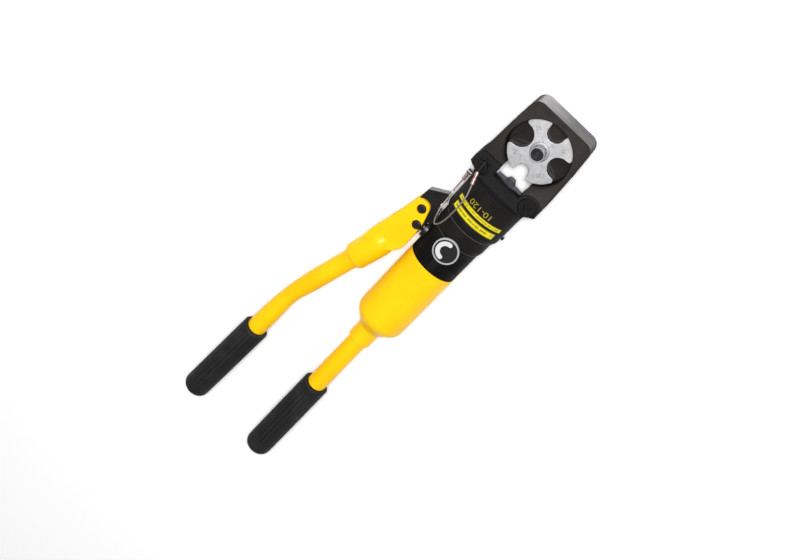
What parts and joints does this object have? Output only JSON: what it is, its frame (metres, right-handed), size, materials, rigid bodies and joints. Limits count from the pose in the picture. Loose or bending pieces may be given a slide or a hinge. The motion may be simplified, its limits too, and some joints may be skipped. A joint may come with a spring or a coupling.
{
  "type": "hydraulic crimping tool",
  "caption": "Hand-pumped hydraulic crimping tool: swing-open head with rotary notched die, ram punch, release knob, reservoir and two long gripped handles.",
  "frame": {"origin": "bottom centre of the box round the tool as it lies on its back", "axes": "+Y along the tool to the head, +Z out of the front face, +X to the right seen from the front with the head up"},
  "size_m": [0.124, 0.4292, 0.0556],
  "materials": {
    "head_black": "satin black oxide, slightly brown",
    "body_black": "satin black",
    "yellow_paint": "smooth semi-gloss yellow enamel",
    "die_steel": "machined, satin",
    "bright_steel": "bright plated",
    "dark_steel": "dark, oiled",
    "grip_rubber": "matte ribbed rubber",
    "seal_rubber": "smooth rubber",
    "label_yellow": "yellow foil with dark edge",
    "knob_black": "moulded black plastic",
    "mark_white": "pale inlay",
    "copper": "pinkish copper",
    "wire_steel": "twisted wire rope"
  },
  "bodies": {
    "root": {"cylinder_barrel": "body_black", "neck_collar": "body_black", "pump_body": "body_black", "hinge_pin": "body_black", "hinge_pin_ring": "dark_steel", "side_screw": "body_black", "upper_label": "label_yellow", "lower_label": "label_yellow", "ram_gland": "dark_steel", "ram_return_spring": "bright_steel", "lanyard_wire": "wire_steel", "anchor_ferrule": "copper", "lanyard_anchor": "bright_steel", "plunger_gland": "dark_steel", "delivery_ball": "bright_steel", "delivery_spring": "bright_steel", "delivery_plug": "dark_steel", "suction_ball": "bright_steel", "suction_spring": "bright_steel", "suction_strainer": "bright_steel", "relief_ball": "bright_steel", "relief_spring": "bright_steel", "relief_screw": "dark_steel", "reservoir_shell": "yellow_paint", "reservoir_bladder": "seal_rubber", "bladder_clamp": "bright_steel", "handle_collar": "yellow_paint", "handle_tube": "yellow_paint", "handle_plug": "dark_steel", "handle_grip": "grip_rubber", "valve_ball": "bright_steel", "fulcrum_pin": "dark_steel", "fulcrum_clip": "bright_steel"},
    "yoke": {"yoke": "head_black", "die_shaft": "dark_steel", "die_washer": "bright_steel", "die_sleeve": "bright_steel", "detent_ball": "bright_steel", "detent_spring": "bright_steel", "detent_plug": "body_black"},
    "die": {"rotary_die": "die_steel"},
    "ram": {"ram_piston": "bright_steel", "piston_seal": "seal_rubber", "punch": "dark_steel", "punch_screw": "dark_steel"},
    "latch_pin": {"latch_pin": "body_black", "pin_ferrule": "copper"},
    "lever": {"lever_head": "yellow_paint", "lever_tube": "yellow_paint", "lever_grip": "grip_rubber", "link_pin": "dark_steel", "link_clip": "bright_steel"},
    "plunger": {"pump_plunger": "dark_steel"},
    "knob": {"release_knob": "knob_black", "knob_ring": "mark_white", "knob_arc": "mark_white", "valve_spindle": "dark_steel"}
  },
  "joints": [
    {"name": "yoke_swing", "type": "hinge", "parent": "root", "child": "yoke", "pos_m": [0.05203, 0.14053, 0.0273], "axis": [0, 0, 1], "range_deg": [-90, 0]},
    {"name": "die_turn", "type": "hinge", "parent": "yoke", "child": "die", "pos_m": [0.02763, 0.17993, 0.0273], "axis": [0, 0, 1], "continuous": true},
    {"name": "ram_slide", "type": "slide", "parent": "root", "child": "ram", "axis": [0, 1, 0], "range_m": [0, 0.0115], "stiffness_N_per_m": 3000, "springref_m": -0.008, "deforming": ["ram_return_spring"]},
    {"name": "latch_pin_pull", "type": "slide", "parent": "root", "child": "latch_pin", "axis": [0, 0, 1], "range_m": [0, 0.04]},
    {"name": "lever_swing", "type": "hinge", "parent": "root", "child": "lever", "pos_m": [-0.00997, 0.07413, 0.0273], "axis": [0, 0, 1], "range_deg": [-50, 3]},
    {"name": "plunger_slide", "type": "slide", "parent": "root", "child": "plunger", "axis": [1, 0, 0], "range_m": [-0.0126, 0.0009]},
    {"name": "release_knob_turn", "type": "hinge", "parent": "root", "child": "knob", "pos_m": [0.02873, 0.06953, 0.0273], "axis": [0, 0, 1], "range_deg": [0, 90]}
  ],
  "couplings": [
    {"joint": "plunger_slide", "follows": "lever_swing", "m_per_rad": 0.0143}
  ]
}
